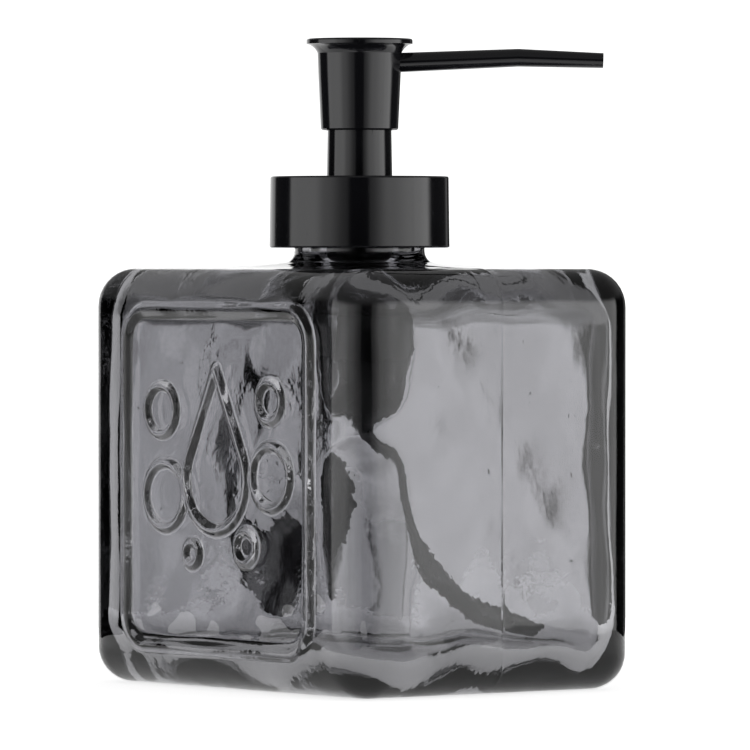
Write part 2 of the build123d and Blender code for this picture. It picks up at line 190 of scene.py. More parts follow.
height = add(sky, "ShaderNodeMapRange", {
    "Value": axes.outputs["Z"], "From Min": TOP_FROM, "From Max": TOP_TO,
    "To Min": 0.0, "To Max": 1.0}, interpolation_type="SMOOTHSTEP")
light = add(sky, "ShaderNodeMix", {0: height.outputs["Result"], 2: band.outputs[0], 3: TOP_LIGHT})
depth = add(sky, "ShaderNodeMapRange", {
    "Value": axes.outputs["Z"], "From Min": TABLE_FROM, "From Max": TABLE_TO,
    "To Min": 0.0, "To Max": 1.0}, interpolation_type="SMOOTHSTEP")
lit = add(sky, "ShaderNodeMix", {0: depth.outputs["Result"], 2: light.outputs[0], 3: TABLE_LIGHT})
seen = add(sky, "ShaderNodeLightPath")
white = add(sky, "ShaderNodeMix", {0: seen.outputs["Is Camera Ray"], 2: lit.outputs[0], 3: 1.0})
backdrop = add(sky, "ShaderNodeBackground", {"Color": WHITE, "Strength": white.outputs[0]})
add(sky, "ShaderNodeOutputWorld", {"Surface": backdrop.outputs[0]})
print("sky has", len(sky.nodes), "nodes")

# %% [markdown]
# ## Floor
# The bottle stands on a sheet of white backdrop paper. Paper is matt, so a diffuse shader does,
# and a wide fill from the walls is painted on as a glow, so the floor itself glows. The glow grows
# away from the bottle, so it is weaker near the bottle: a painted contact shadow laid over the
# faint real one that the diffuse shader gets. The sheet is small, so that what the glass shows
# behind it is the sky.

# %% Paper sheet
FLOOR_DROP = 0.15 * MM
FLOOR_HALF = 0.25
GLOW_NEAR, GLOW_FAR = 0.62, 0.85
GLOW_FROM, GLOW_TO = 0.05, 0.2  # metres from the bottle's middle

floor_mesh = bpy.data.meshes.new("floor")
floor_mesh.from_pydata([(x * FLOOR_HALF, y * FLOOR_HALF, -FLOOR_DROP)
                        for x, y in ((-1, -1), (1, -1), (1, 1), (-1, 1))], [], [(0, 1, 2, 3)])
floor = bpy.data.objects.new("floor", floor_mesh)
bpy.context.scene.collection.objects.link(floor)

# Uncoated paper: matt and bright, with no gloss at any angle. Its glow is painted fill light,
# and it is dimmer near the bottle as painted shade.
paper, tree = new_material("white_paper_with_painted_fill_glow")
soft = add(tree, "ShaderNodeBsdfDiffuse", {"Color": linear("#f4f4f4")})
spot = add(tree, "ShaderNodeVectorMath", {0: add(tree, "ShaderNodeTexCoord").outputs["Object"]},
           operation="LENGTH")
# Painted shade: the painted glow is lowest near the bottle, as a painted contact shadow.
reach = add(tree, "ShaderNodeMapRange", {
    "Value": spot.outputs["Value"], "From Min": GLOW_FROM, "From Max": GLOW_TO,
    "To Min": GLOW_NEAR, "To Max": GLOW_FAR}, interpolation_type="SMOOTHSTEP")
glow = add(tree, "ShaderNodeEmission", {"Color": WHITE, "Strength": reach.outputs["Result"]})
both = add(tree, "ShaderNodeAddShader", {0: soft.outputs[0], 1: glow.outputs[0]})
add(tree, "ShaderNodeOutputMaterial", {"Surface": both.outputs[0]})
floor_mesh.materials.append(paper)
print("floor", 2 * FLOOR_HALF, "m square")

# %% [markdown]
# ## How light is followed
# A ray that crosses the bottle passes four skins and may bounce many times in the thick corners,
# so clear glass needs far more bounces than plastic. Too few, and the corners turn black. The
# plain tone curve keeps white at white, and a contrast look deepens the glass's dark edges.

# %% Bounces and tone
scene = bpy.context.scene
scene.view_settings.view_transform = "Standard"
scene.view_settings.look = "Medium High Contrast"
scene.cycles.use_denoising = True
scene.cycles.max_bounces = 24
scene.cycles.transmission_bounces = 20
scene.cycles.glossy_bounces = 8
scene.cycles.transparent_max_bounces = 12
scene.cycles.sample_clamp_indirect = 4.0
print("light is followed for", scene.cycles.max_bounces, "bounces")

# %% [markdown]
# ## Bottle sizes
# The bottle is blown into a square mould, so its outside is crisp and its inside is not: the
# cavity's corners are far rounder than the outside ones, its walls wander, and the corners and
# the heel are thick. That is what bends the light, so both skins are modelled. The overall sizes
# come from the CAD bottle's own box, less the mould seam that stands out from it.

# %% Bottle sizes, in millimetres
low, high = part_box("bottle")
SEAM_HEIGHT, SEAM_HALF_WIDTH = 0.10, 0.40
HALF_X = (high[0] - low[0]) / 2 / MM - SEAM_HEIGHT
HALF_Y = high[1] / MM
RIM_Z = high[2] / MM
NECK_HEIGHT = 15.3
BODY_Z = RIM_Z - NECK_HEIGHT
CORNER = 10.0  # upright outer edges
SHOULDER = 8.8
HEEL = 8.4
PUSH_UP = 1.0  # how far the base is hollowed underneath
SHELF_RISE = 1.3  # rise of the shoulder's top towards the neck
FOOT = 17.6  # radius where the neck's fillet starts
BEAD = 14.95
BEAD_TOP = BODY_Z + 5.4
NECK_ROOT = 12.5
BORE = 9.5
WALL = 3.5
BASE = 6.0
ROOF_Z = BODY_Z - 4.2
INNER_EDGE = 9.0
MOUTH_EDGE = 2.0
INNER_CROWN = 1.2  # rise of the cavity's floor in its middle
print("body", round(2 * HALF_X, 1), "x", round(2 * HALF_Y, 1), "x", round(BODY_Z, 1), "mm")

# %% [markdown]
# ## Rings
# The whole bottle is one closed sheet of rings: up the outside, over the rim and down the inside.
# A boolean between two solids would also make the hollow, but leaves long thin triangles that
# show as creases in glass. Here each ring has the same number of points, so a rounded rectangle
# can turn into a circle with clean quads between them. Each of the four corners has its own
# radius, and extra points stand close together where the mould seam runs.

# %% Ring helpers
CORNER_STEPS = 14
WIDE_SHARES = np.linspace(0, 1, 45)[1:-1]
SEAM_SHARES = 0.5 + np.array([-9, -6, -3, 3, 6, 9]) * 0.001
SIDE_SHARES = np.sort(np.concatenate([np.linspace(0, 1, 33)[1:-1], SEAM_SHARES]))
QUARTERS = [(1, 1, 0), (-1, 1, 90), (-1, -1, 180), (1, -1, 270)]  # signs of x and y, first angle


def rounded_ring(half_x, half_y, corners, z):
    """One ring round a rounded rectangle, anticlockwise from the right side's end."""
    points = []
    corners = [corners] * 4 if isinstance(corners, (int, float)) else corners
    for number, (sx, sy, start) in enumerate(QUARTERS):
        corner, next_corner = corners[number], corners[(number + 1) % 4]
        cx, cy = sx * (half_x - corner), sy * (half_y - corner)
        for step_number in range(CORNER_STEPS + 1):
            angle = math.radians(start + 90 * step_number / CORNER_STEPS)
            points.append((cx + corner * math.cos(angle), cy + corner * math.sin(angle), z))
        nx, ny, after = QUARTERS[(number + 1) % 4]
        next_angle = math.radians(after)
        end = (nx * (half_x - next_corner) + next_corner * math.cos(next_angle),
               ny * (half_y - next_corner) + next_corner * math.sin(next_angle))
        first = points[-1]
        for t in (WIDE_SHARES if number % 2 == 0 else SIDE_SHARES):
            points.append((first[0] + t * (end[0] - first[0]),
                           first[1] + t * (end[1] - first[1]), z))
    return np.array(points)


outline = rounded_ring(HALF_X, HALF_Y, CORNER, 0)
bearing = np.arctan2(outline[:, 1], outline[:, 0])
COLUMNS = len(outline)


def round_ring(radius, z):
    """A circle whose points keep the bearings of the rectangle's."""
    return np.stack([radius * np.cos(bearing), radius * np.sin(bearing), np.full(COLUMNS, z)],
                    axis=1)


def smooth(t):
    return t * t * (3 - 2 * t)


def step(low, high, value):
    """0 below low, 1 above high, and an even slope between."""
    return smooth(np.clip((value - low) / (high - low), 0, 1))


print("each ring has", COLUMNS, "points")

# %% [markdown]
# ## Outside of the body
# From the middle of the base outwards: a slightly hollow base, so that the bottle stands on its
# rim, then the heel, the flat walls and the shoulder. Heel and shoulder are quarter rounds: each
# ring is drawn in and rises by the sine and cosine of the same angle.

# %% Base, walls and shoulder
rings = []
for share_out in np.linspace(0.12, 1.0, 9)[:-1]:
    ring = rounded_ring(HALF_X - HEEL, HALF_Y - HEEL, CORNER - HEEL, 0) * share_out
    ring[:, 2] = PUSH_UP * (1 - smooth(min(1, max(0, (share_out - 0.55) / 0.4))))
    rings.append(ring)
for angle in np.radians(np.linspace(0, 90, 10)):
    inset = HEEL * (1 - math.sin(angle))
    rings.append(rounded_ring(HALF_X - inset, HALF_Y - inset, CORNER - inset,
                              HEEL * (1 - math.cos(angle))))
for z in np.linspace(HEEL, BODY_Z - SHOULDER, 42)[1:-1]:
    rings.append(rounded_ring(HALF_X, HALF_Y, CORNER, z))
for angle in np.radians(np.linspace(0, 90, 10)):
    inset = SHOULDER * (1 - math.cos(angle))
    rings.append(rounded_ring(HALF_X - inset, HALF_Y - inset, CORNER - inset,
                              BODY_Z - SHOULDER + SHOULDER * math.sin(angle)))
print("body has", len(rings), "rings")

# %% [markdown]
# ## Shelf, bead and neck
# The top shelf turns from a rectangle to a circle while it rises a little, and a hollow fillet
# leads to the transfer bead, the ring by which the hot bottle is carried. Above it the thread is
# a helix: at each bearing it has one height for each turn, and a ring is pushed out by how near
# it lies to them. The thread is hidden by the collar until it is unscrewed.

# %% Neck rings
shelf, foot = rings[-1], round_ring(FOOT, BODY_Z + SHELF_RISE)
for t in np.linspace(0, 1, 10)[1:]:
    ring = shelf * (1 - t) + foot * t
    ring[:, 2] = BODY_Z + SHELF_RISE * t * t
    rings.append(ring)
FILLET = FOOT - BEAD
for angle in np.radians(np.linspace(15, 90, 6)):
    rings.append(round_ring(FOOT - FILLET * math.sin(angle),
                            BODY_Z + SHELF_RISE + FILLET * (1 - math.cos(angle))))
for radius, z in [(BEAD, BEAD_TOP - 0.9), (BEAD, BEAD_TOP - 0.45), (BEAD - 0.13, BEAD_TOP - 0.13),
                  (BEAD - 0.45, BEAD_TOP), (NECK_ROOT + 0.3, BEAD_TOP),
                  (NECK_ROOT, BEAD_TOP + 0.3)]:
    rings.append(round_ring(radius, z))

THREAD_PITCH = 4.233  # six turns to the inch
THREAD_TURNS = 1.25
THREAD_START = BEAD_TOP + 2.9
THREAD_DEPTH = 1.2
THREAD_HALF_WIDTH, THREAD_FLANK = 1.1, 0.55
turn_share = (bearing % (2 * math.pi)) / (2 * math.pi)
for z in np.arange(BEAD_TOP + 0.7, RIM_Z - 0.5, 0.35):
    lift = np.zeros(COLUMNS)
    for turn in range(3):
        along = turn_share + turn
        off = np.abs(z - (THREAD_START + THREAD_PITCH * along))
        crest = np.clip((THREAD_HALF_WIDTH - off) / THREAD_FLANK, 0, 1) * THREAD_DEPTH
        lift = np.maximum(lift, np.where(along <= THREAD_TURNS, crest, 0))
    ring = round_ring(1, z)
    ring[:, :2] *= (NECK_ROOT + lift)[:, None]
    rings.append(ring)
for radius, z in [(NECK_ROOT, RIM_Z - 0.45), (NECK_ROOT - 0.13, RIM_Z - 0.13),
                  (NECK_ROOT - 0.45, RIM_Z), (BORE + 0.6, RIM_Z), (BORE + 0.18, RIM_Z - 0.18),
                  (BORE, RIM_Z - 0.6)]:
    rings.append(round_ring(radius, z))
for z in np.linspace(RIM_Z - 2, ROOF_Z + MOUTH_EDGE, 6):
    rings.append(round_ring(BORE, z))
outer_rows = len(rings)
print("outside and bore have", outer_rows, "rings")

# %% [markdown]
# ## Inside of the body
# Air pushes the hot glass into the mould's corners only so far, so the cavity is a much rounder
# box than the outside. No two of its corners are alike, and the radius of two of them changes at
# mid height. A plain offset of the outside would be simpler, but would look machined. The rings
# go on down from the mouth to the cavity's floor.

# %% Cavity rings
def cavity_corners(z):
    """Radii of the cavity's corners at one height: back right and left, front left and right."""
    back_right = 11.0 + 3.0 * math.exp(-((z - 52) / 17) ** 2)
    front_right = 14.0 - 7.0 * math.exp(-((z - 60) / 6) ** 2)
    return [back_right, 15.0, 12.0, front_right]


def cavity_ring(inset, z):
    corners = [max(corner - inset, 3.0) for corner in cavity_corners(z)]
    return rounded_ring(HALF_X - WALL - inset, HALF_Y - WALL - inset, corners, z)


for angle in np.radians(np.linspace(15, 90, 6)):
    rings.append(round_ring(BORE + MOUTH_EDGE * (1 - math.cos(angle)),
                            ROOF_Z + MOUTH_EDGE * (1 - math.sin(angle))))
mouth, roof_edge = round_ring(BORE + MOUTH_EDGE, ROOF_Z), cavity_ring(INNER_EDGE, ROOF_Z)
for t in np.linspace(0, 1, 9)[1:-1]:
    rings.append(mouth * (1 - t) + roof_edge * t)
for angle in np.radians(np.linspace(0, 90, 9)):
    rings.append(cavity_ring(INNER_EDGE * (1 - math.sin(angle)),
                             ROOF_Z - INNER_EDGE * (1 - math.cos(angle))))
for z in np.linspace(ROOF_Z - INNER_EDGE, BASE + INNER_EDGE, 40)[1:-1]:
    rings.append(cavity_ring(0, z))
for angle in np.radians(np.linspace(0, 90, 9)):
    rings.append(cavity_ring(INNER_EDGE * (1 - math.cos(angle)),
                             BASE + INNER_EDGE - INNER_EDGE * math.sin(angle)))
floor_edge = rings[-1]
for share_in in np.linspace(1, 0.12, 10)[1:]:
    ring = floor_edge * share_in
    ring[:, 2] = BASE + INNER_CROWN * (1 - share_in) ** 1.5
    rings.append(ring)
print("rings in all", len(rings))

# %% [markdown]
# ## Wandering of the blown inside
# Nothing but air has touched the inside, so it wanders by a few tenths of a millimetre, and it
# holds one heavy place where the gob of glass was thickest. Noise in the shader could only tilt
# the light, while a real change of thickness also moves the dark lines, so the skin itself is
# moved: slow crossing waves everywhere, then a thick patch and a soft crease on the left wall.

# %% Move the inner skin
def wander(points):
    """How far the inner skin strays inwards, in mm, as a few crossing slow waves."""
    x, y, z = points[:, 0], points[:, 1], points[:, 2]
    waves = 0.34 * np.sin(x / 8.2 + 0.9) * np.cos(z / 13.5 + 0.4)
    waves += 0.30 * np.sin(y / 7.0 + 2.1) * np.cos(z / 10.5 - 0.7)
    waves += 0.22 * np.sin((x + y) / 5.1 + z / 7.3)
    waves += 0.10 * np.sin((x - y) / 2.9 - z / 4.1 + 1.3)
    return waves


PATCH, CREASE = 9.5, 3.0


def thick_place(points):
    """Extra glass on the left wall: a heavy patch low down and a soft crease over it."""
    x, y, z = points[:, 0], points[:, 1], points[:, 2]
    patch = PATCH * step(-1, 21, y) * (1 - step(22, 33, y)) * (1 - step(34, 46, z))
    crease = CREASE * np.exp(-((y - 9 - 1.8 * np.sin(z / 9)) / 5.0) ** 2)
    crease = crease * (0.75 + 0.25 * np.sin(z / 4.6))
    crease = crease * step(30, 42, z) * (1 - step(80, 88, z))
    return (patch + crease) * step(33, 43, -x)


def sag(points):
    """Slow rise and fall of the cavity's roof and floor, strongest near the walls."""
    x, y, z = points[:, 0], points[:, 1], points[:, 2]
    waves = 0.8 * np.sin(x / 6.1 + y / 9.7) + 0.5 * np.sin(y / 3.9 - x / 11.0 + 1.0)
    near_edge = step(20, 34, np.abs(points[:, :2]).max(axis=1))
    low_part = 1 - step(BASE + 3, BASE + 16, z)
    high_part = step(ROOF_Z - 16, ROOF_Z - 3, z) * 0.9
    return waves * near_edge * (low_part + high_part)


deepest = 0
for ring in rings[outer_rows:]:
    weight = smooth(min(1, max(0, (np.abs(ring[:, :2]).max() - 14) / 8)))
    length = np.maximum(np.linalg.norm(ring[:, :2], axis=1), 1e-6)
    inward = -ring[:, :2] / length[:, None]
    extra = thick_place(ring)
    ring[:, :2] += inward * (wander(ring) * weight)[:, None]
    ring[:, 0] += extra
    ring[:, 2] += sag(ring)
    deepest = max(deepest, extra.max())
print("thickest place adds", round(deepest, 1), "mm of glass")

# %% [markdown]
# ## Mould seam
# The mould opens in two halves, and a thin line of glass creeps into the joint between them. It
# runs up both narrow sides and over the shoulder, a tenth of a millimetre high. It is left off
# the base, which would not stand flat on it.

# %% Raise the seam
for ring in rings[:outer_rows]:
    beside = (np.abs(ring[:, 1]) < SEAM_HALF_WIDTH * 1.01) & (np.abs(ring[:, 0]) > NECK_ROOT + 4)
    peak = SEAM_HEIGHT * (1 - (ring[:, 1] / SEAM_HALF_WIDTH) ** 2)
    steep = np.abs(ring[:, 0]) > HALF_X - 2.5
    ring[:, 0] += np.where(beside & steep, np.sign(ring[:, 0]) * peak, 0)
    ring[:, 2] += np.where(beside & ~steep & (ring[:, 2] > BODY_Z / 2), peak, 0)
print("seam stands", SEAM_HEIGHT, "mm out and is", 2 * SEAM_HALF_WIDTH, "mm wide")

# %% [markdown]
# ## Skin
# Quads join each ring to the next, and a fan of triangles closes the middle of the base on both
# sides. Points on the inner skin are marked with a number, so that the shader can give the blown
# inside a ripple that the moulded outside lacks while the bottle keeps one material. One material
# matters in glass: the renderer tracks which glass a ray is in by it.

# %% Skin the rings
points = np.vstack([[[0, 0, PUSH_UP]]] + rings + [[[0, 0, BASE + INNER_CROWN]]])
last, pole = 1 + (len(rings) - 1) * COLUMNS, len(points) - 1
faces = []
for column in range(COLUMNS):
    faces.append((0, 1 + (column + 1) % COLUMNS, 1 + column))
for row in range(len(rings) - 1):
    base_a, base_b = 1 + row * COLUMNS, 1 + (row + 1) * COLUMNS
    for column in range(COLUMNS):
        after = (column + 1) % COLUMNS
        faces.append((base_a + column, base_a + after, base_b + after, base_b + column))
for column in range(COLUMNS):
    faces.append((last + column, last + (column + 1) % COLUMNS, pole))

bottle_mesh = bpy.data.meshes.new("glass_bottle")
bottle_mesh.from_pydata((points * MM).tolist(), [], faces)
inside_skin = bottle_mesh.attributes.new("inside", "FLOAT", "POINT")
is_inside = np.arange(len(points)) > outer_rows * COLUMNS
inside_skin.data.foreach_set("value", is_inside.astype(np.float32))
bottle = bpy.data.objects.new("glass_bottle", bottle_mesh)
bpy.context.scene.collection.objects.link(bottle)
print("bottle", len(bottle_mesh.vertices), "points", len(bottle_mesh.polygons), "faces")

# %% [markdown]
# ## Lines on the front panel
# The front carries a raised round-topped frame and, inside it, embossed outlines: a drop of water
# and a few soap bubbles. In a glass mould these are grooves cut with a ball cutter, so each
# line's section is a smooth low arch. The neatest way to get that section is to work out how far
# each point of the face lies from the line, and to raise it by an arch of that distance.

# %% Distances and arch
PANEL_HALF_X = HALF_X - 15.9
PANEL_LOW, PANEL_HIGH = 7.25, BODY_Z - 7.05
PANEL_MID = (PANEL_LOW + PANEL_HIGH) / 2
PANEL_HALF_Z = (PANEL_HIGH - PANEL_LOW) / 2
PANEL_CORNER = 10.0
RIDGE_WIDTH, RIDGE_HEIGHT = 4.6, 1.1
LINE_WIDTH, LINE_HEIGHT = 3.2, 1.1
BUBBLE_LINE = 0.85  # a bubble's line is this much narrower
DROP_Z, DROP_RADIUS, DROP_TIP = 48.0, 11.5, 73.0
BUBBLES = [  # x, z, radius
    (-21.0, 63.5, 5.6), (-19.5, 44.0, 7.4), (20.5, 66.0, 4.4), (21.0, 49.0, 7.0),
    (11.5, 33.0, 3.6), (-9.0, 31.0, 2.6),
]


def frame_distance(x, z):
    """Distance from the middle line of the raised frame."""
    half_x, half_z = PANEL_HALF_X - RIDGE_WIDTH / 2, PANEL_HALF_Z - RIDGE_WIDTH / 2
    corner = PANEL_CORNER - RIDGE_WIDTH / 2
    qx = np.abs(x) - (half_x - corner)
    qz = np.abs(z - PANEL_MID) - (half_z - corner)
    outside = np.hypot(np.maximum(qx, 0), np.maximum(qz, 0))
    return np.abs(outside + np.minimum(np.maximum(qx, qz), 0) - corner)


def drop_distance(x, z):
    """Distance from a water drop's outline: a circle and two tangents that meet at its tip."""
    dx, dz = np.abs(x), z - DROP_Z
    tip = DROP_TIP - DROP_Z
    sine = DROP_RADIUS / tip
    touch_x, touch_z = DROP_RADIUS * math.sqrt(1 - sine * sine), DROP_RADIUS * sine
    ring_gap = np.abs(np.hypot(dx, dz) - DROP_RADIUS)
    along = (dx - touch_x) * -touch_x + (dz - touch_z) * (tip - touch_z)
    t = np.clip(along / (touch_x ** 2 + (tip - touch_z) ** 2), 0, 1)
    side_gap = np.hypot(dx - (touch_x - t * touch_x), dz - (touch_z + t * (tip - touch_z)))
    return np.where(dz > touch_z, side_gap, ring_gap)


def arch(distance, width, rise):
    """Round-topped line: a raised cosine, a little fuller than a plain one."""
    t = np.clip(distance / (width / 2), 0, 1) ** 1.25
    return rise * 0.5 * (1 + np.cos(math.pi * t))


def relief(x, z):
    """Height of the front face over its plane."""
    rise = arch(frame_distance(x, z), RIDGE_WIDTH, RIDGE_HEIGHT)
    rise = np.maximum(rise, arch(drop_distance(x, z), LINE_WIDTH, LINE_HEIGHT))
    for bubble_x, bubble_z, radius in BUBBLES:
        gap = np.abs(np.hypot(x - bubble_x, z - bubble_z) - radius)
        rise = np.maximum(rise, arch(gap, LINE_WIDTH * BUBBLE_LINE, LINE_HEIGHT))
    return rise


print("panel", round(2 * PANEL_HALF_X, 1), "x", round(2 * PANEL_HALF_Z, 1), "mm,",
      len(BUBBLES), "bubbles")

# %% [markdown]
# ## Emboss
# The front faces are cut finely only where the panel lies, to about half a millimetre, and their
# points are pushed out. The inner skin stays as it was, because the air never feels the mould's
# grooves. Normals are then made to agree and the skin is shaded smooth.

# %% Push the lines out
mesh = bmesh.new()
mesh.from_mesh(bottle_mesh)
mesh.faces.ensure_lookup_table()
front_y = -HALF_Y * MM
panel_faces = []
for face in mesh.faces:
    centre = face.calc_center_median()
    if (abs(centre.y - front_y) < 0.3 * MM and abs(centre.x) < (PANEL_HALF_X + 2.5) * MM
            and PANEL_LOW - 1.5 < centre.z / MM < PANEL_HIGH + 1.5):
        panel_faces.append(face)
panel_edges = list({edge for face in panel_faces for edge in face.edges})
bmesh.ops.subdivide_edges(mesh, edges=panel_edges, cuts=3, use_grid_fill=True)
mesh.verts.ensure_lookup_table()
front = [v for v in mesh.verts
         if v.co.y < front_y + 0.6 * MM and abs(v.co.x) < (HALF_X - CORNER) * MM]
front_x = np.array([v.co.x for v in front]) / MM
front_z = np.array([v.co.z for v in front]) / MM
for vertex, rise in zip(front, relief(front_x, front_z)):
    vertex.co.y -= rise * MM
bmesh.ops.recalc_face_normals(mesh, faces=mesh.faces)
for face in mesh.faces:
    face.smooth = True
mesh.to_mesh(bottle_mesh)
mesh.free()
print("after emboss", len(bottle_mesh.polygons), "faces")

# %% [markdown]
# ## Smoked glass
# Soda lime glass, blown, with a smoke tint. The eye reads it by its dark edges and bright centre,
# by clear bent images of what stands behind, and by a fire polish with no roughness at all. A
# long slow swell lies in both skins, and a finer ripple, 1.9 mm from crest to crest, only in the
# blown one. Most of the smoke is set on the surface and a little in the volume, so that the thick
# places grow darker only slowly. With all of it in the volume, the heavy corners turn black.

# %% Smoked glass material
SWELL, RIPPLE = 11 * MM, 1.9 * MM  # width of one wave
RIPPLE_SHARE = 0.20
WAVE_DEPTH = 0.28 * MM

glass, tree = new_material("soda_lime_glass_smoked_blown")
place = add(tree, "ShaderNodeTexCoord").outputs["Object"]
inside = add(tree, "ShaderNodeAttribute", attribute_name="inside").outputs["Fac"]
swell = add(tree, "ShaderNodeTexNoise", {
    "Vector": place, "Scale": 1 / SWELL, "Detail": 1.0, "Roughness": 0.4})
ripple = add(tree, "ShaderNodeTexNoise", {
    "Vector": place, "Scale": 1 / RIPPLE, "Detail": 1.5, "Roughness": 0.5})
inner_ripple = add(tree, "ShaderNodeMath", {0: ripple.outputs["Fac"], 1: inside},
                   operation="MULTIPLY")
waves = add(tree, "ShaderNodeMath", {
    0: inner_ripple.outputs[0], 1: RIPPLE_SHARE, 2: swell.outputs["Fac"]}, operation="MULTIPLY_ADD")
bump = add(tree, "ShaderNodeBump", {
    "Height": waves.outputs[0], "Strength": 1.0, "Distance": WAVE_DEPTH})
shader = add(tree, "ShaderNodeBsdfPrincipled", {
    "Base Color": linear("#c9c9cc"), "Roughness": 0.0, "IOR": 1.5, "Transmission Weight": 1.0,
    "Normal": bump.outputs[0]})
smoke = add(tree, "ShaderNodeVolumeAbsorption", {"Color": linear("#8a8a8c"), "Density": 55.0})
add(tree, "ShaderNodeOutputMaterial", {"Surface": shader.outputs[0], "Volume": smoke.outputs[0]})
print("glass material has", len(tree.nodes), "nodes")

# %% [markdown]
# ## Seeds in the glass
# Blown glass keeps a few seeds: gas bubbles a fraction of a millimetre wide, drawn out along the
# way the glass flowed. They repeat by a rule, so a node tree grows them: points are scattered
# over a sheet half way through the wall, and a small stretched ball is set on each. Its faces are
# turned to look into the bubble, because that is where the glass ends.

# %% Seed tree
def seed_tree():
    tree = bpy.data.node_groups.new("seed_scatter", "GeometryNodeTree")
    face = tree.interface
    face.new_socket("Geometry", in_out="INPUT", socket_type="NodeSocketGeometry")
    face.new_socket("Density", in_out="INPUT", socket_type="NodeSocketFloat")
    face.new_socket("Smallest", in_out="INPUT", socket_type="NodeSocketFloat")
    face.new_socket("Largest", in_out="INPUT", socket_type="NodeSocketFloat")
    face.new_socket("Seed", in_out="INPUT", socket_type="NodeSocketInt")
    face.new_socket("Material", in_out="INPUT", socket_type="NodeSocketMaterial")
    face.new_socket("Geometry", in_out="OUTPUT", socket_type="NodeSocketGeometry")
    given = add(tree, "NodeGroupInput").outputs
    spots = add(tree, "GeometryNodeDistributePointsOnFaces", {
        "Mesh": given["Geometry"], "Density": given["Density"], "Seed": given["Seed"]})
    ball = add(tree, "GeometryNodeMeshIcoSphere", {"Radius": 1.0, "Subdivisions": 2})
    size = add(tree, "FunctionNodeRandomValue", {
        2: given["Smallest"], 3: given["Largest"], "Seed": given["Seed"]}, data_type="FLOAT")
    draw = add(tree, "FunctionNodeRandomValue", {2: 1.2, 3: 3.2, "Seed": 5}, data_type="FLOAT")
    stretch = add(tree, "ShaderNodeCombineXYZ", {"X": 1.0, "Y": 1.0, "Z": draw.outputs[1]})
    scale = add(tree, "ShaderNodeVectorMath", {0: stretch.outputs[0], "Scale": size.outputs[1]},
                operation="SCALE")
    lean = add(tree, "FunctionNodeRandomValue", {0: (-0.3, -0.3, 0), 1: (0.3, 0.3, 0), "Seed": 9},
               data_type="FLOAT_VECTOR")
    balls = add(tree, "GeometryNodeInstanceOnPoints", {
        "Points": spots.outputs["Points"], "Instance": ball.outputs["Mesh"],
        "Scale": scale.outputs[0], "Rotation": lean.outputs[0]})
    real = add(tree, "GeometryNodeRealizeInstances", {"Geometry": balls.outputs[0]})
    inward = add(tree, "GeometryNodeFlipFaces", {"Mesh": real.outputs[0]})
    finish = add(tree, "GeometryNodeSetMaterial", {
        "Geometry": inward.outputs[0], "Material": given["Material"]})
    add(tree, "NodeGroupOutput", {"Geometry": finish.outputs[0]})
    return tree


def grown(base, tree, values):
    """The plain mesh that a node tree grows on a base object, with its inputs set by name."""
    modifier = base.modifiers.new("grow", "NODES")
    modifier.node_group = tree
    for item in tree.interface.items_tree:
        if item.in_out == "INPUT" and item.name in values:
            modifier[item.identifier] = values[item.name]
    bpy.context.view_layer.update()
    result = bpy.data.meshes.new_from_object(
        base.evaluated_get(bpy.context.evaluated_depsgraph_get()))
    base.modifiers.remove(modifier)
    return result


scatter = seed_tree()
print("seed tree has", len(scatter.nodes), "nodes")

# %% [markdown]
# ## Scatter
# The sheet is four flat panels in the middle of the walls, kept away from the corners and from
# the heavy base. The grown balls join the bottle's mesh, so that glass and bubbles are one piece
# with one material, and the bottle then takes the place of the plain CAD one.

# %% Scatter the seeds and finish the bottle
SEED_KEEP_OFF = 14  # mm from the corners
SEED_LOW, SEED_HIGH = 14, BODY_Z - 16
ICO_POINTS = 42  # points of one ball

sheet_x, sheet_y = HALF_X - WALL / 2, HALF_Y - WALL / 2
reach_x, reach_y = HALF_X - SEED_KEEP_OFF, HALF_Y - SEED_KEEP_OFF
corners = []
for sign in (-1, 1):
    corners += [(sign * sheet_x, y, z) for y, z in (
        (-reach_y, SEED_LOW), (reach_y, SEED_LOW), (reach_y, SEED_HIGH), (-reach_y, SEED_HIGH))]
    corners += [(x, sign * sheet_y, z) for x, z in (
        (-reach_x, SEED_LOW), (reach_x, SEED_LOW), (reach_x, SEED_HIGH), (-reach_x, SEED_HIGH))]
quads = [(4 * k, 4 * k + 1, 4 * k + 2, 4 * k + 3) for k in range(4)]
wall_mesh = bpy.data.meshes.new("wall_sheet")
wall_mesh.from_pydata((np.array(corners) * MM).tolist(), [], quads)
wall_sheet = bpy.data.objects.new("wall_sheet", wall_mesh)
bpy.context.scene.collection.objects.link(wall_sheet)
seeds = grown(wall_sheet, scatter, {
    "Density": 2600.0, "Smallest": 0.07 * MM, "Largest": 0.24 * MM, "Seed": 4, "Material": glass})
bpy.data.objects.remove(wall_sheet)

joined = bmesh.new()
joined.from_mesh(bottle_mesh)
joined.from_mesh(seeds)
joined.to_mesh(bottle_mesh)
joined.free()
bottle_mesh.materials.clear()
bottle_mesh.materials.append(glass)
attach(bottle, "bottle")
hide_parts("bottle")
print("seeds", len(seeds.vertices) // ICO_POINTS)

# %% [markdown]
# ## Moulded black plastics
# The visible pump is gloss black ABS from a polished mould. Its gloss isn't even: the melt leaves
# faint flow marks, the skin shrinks to a shallow orange peel, and handling adds a few fine
# scuffs round it. The hidden body of the pump is polypropylene, a waxy plastic that comes out of
# the mould matt. Both are made the same way, so one function serves, with other numbers for the
# gloss. The scuffs are drawn wider than the hair lines that they are, or none would show.

# %% Black plastic materials
FLOW_MARK, SCUFF, PEEL = 14 * MM, 0.5 * MM, 2.6 * MM  # widths


